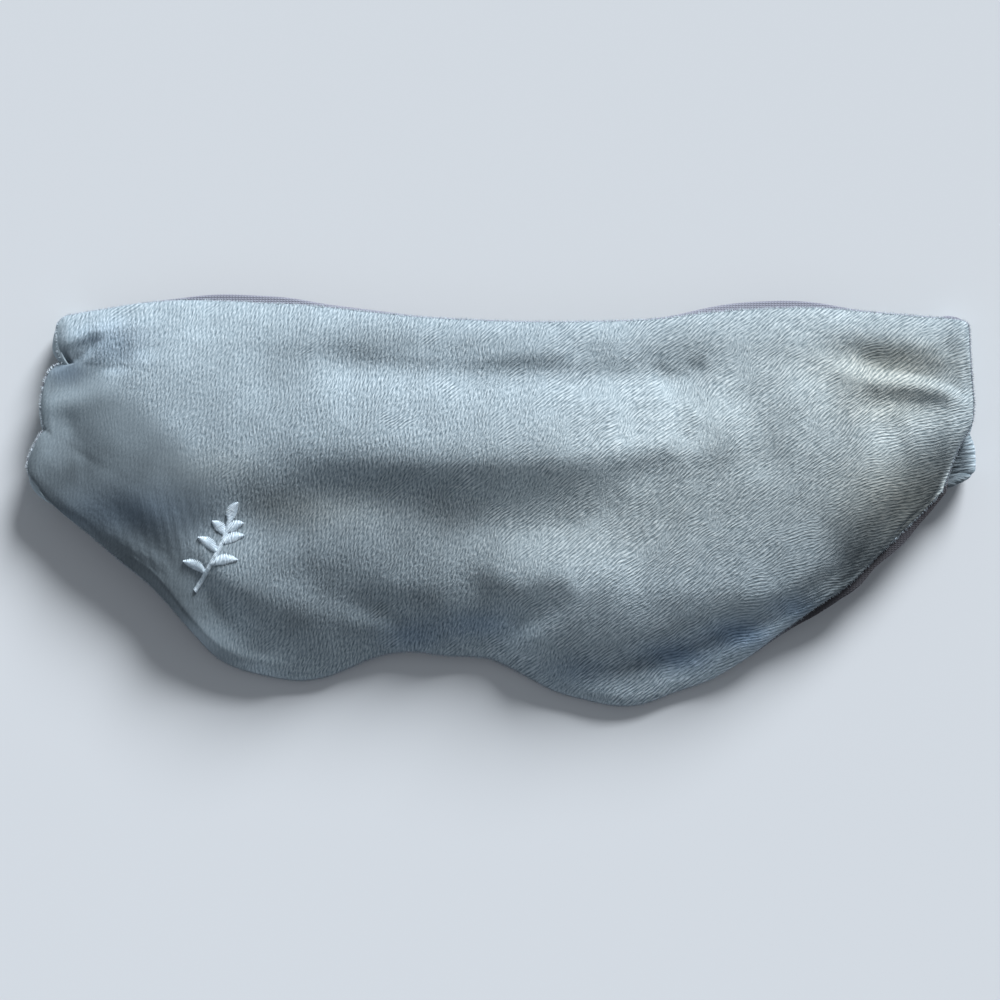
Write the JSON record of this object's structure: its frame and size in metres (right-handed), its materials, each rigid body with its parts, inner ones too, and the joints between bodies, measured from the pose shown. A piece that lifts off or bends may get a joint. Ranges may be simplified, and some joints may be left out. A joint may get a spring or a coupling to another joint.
{
  "type": "sleep eye mask",
  "caption": "Padded plush sleep eye mask with a dark knitted lining and gathered elastic head bands folded behind it, closed by hook and loop tape",
  "frame": {"origin": "centre of the footprint of the mask as it lies face up on its folded bands, on the surface it lies on", "axes": "+X along the mask's length, +Y towards the brow edge, +Z out of the plush front"},
  "size_m": [0.2374, 0.1042, 0.0179],
  "materials": {
    "plush": "polyester velour, short pile",
    "wadding": "polyester wadding",
    "blackout_cloth": "plain weave",
    "lining": "fine jersey knit",
    "elastic": "woven elastic",
    "hook_tape": "nylon hooks",
    "loop_tape": "nylon loops"
  },
  "bodies": {
    "mask": {"front_panel": "plush", "wadding_pad": "wadding", "blackout_layer": "blackout_cloth", "back_panel": "lining"},
    "left_band": {"left_band_casing": "plush", "left_band_elastic": "elastic"},
    "left_tip": {"left_tab": "plush", "left_hook_patch": "hook_tape"},
    "right_band": {"right_band_casing": "plush", "right_band_elastic": "elastic"},
    "right_tip": {"right_tab": "plush", "right_loop_patch": "loop_tape"}
  },
  "joints": [
    {"name": "left_band_fold", "type": "hinge", "parent": "mask", "child": "left_band", "pos_m": [-0.11504, 0.0275, 0.00725], "axis": [0.2102, 0.9776, 0], "range_deg": [0, 180]},
    {"name": "left_band_stretch", "type": "slide", "parent": "left_band", "child": "left_tip", "axis": [0.9776, -0.2102, 0], "range_m": [0, 0.06], "stiffness_N_per_m": 80, "deforming": ["left_band_casing", "left_band_elastic"]},
    {"name": "right_band_fold", "type": "hinge", "parent": "mask", "child": "right_band", "pos_m": [0.1184, 0.026, 0.00725], "axis": [0.037, -0.9993, 0], "range_deg": [0, 180]},
    {"name": "right_band_stretch", "type": "slide", "parent": "right_band", "child": "right_tip", "axis": [-0.9993, -0.037, 0], "range_m": [0, 0.06], "stiffness_N_per_m": 80, "deforming": ["right_band_casing", "right_band_elastic"]}
  ]
}
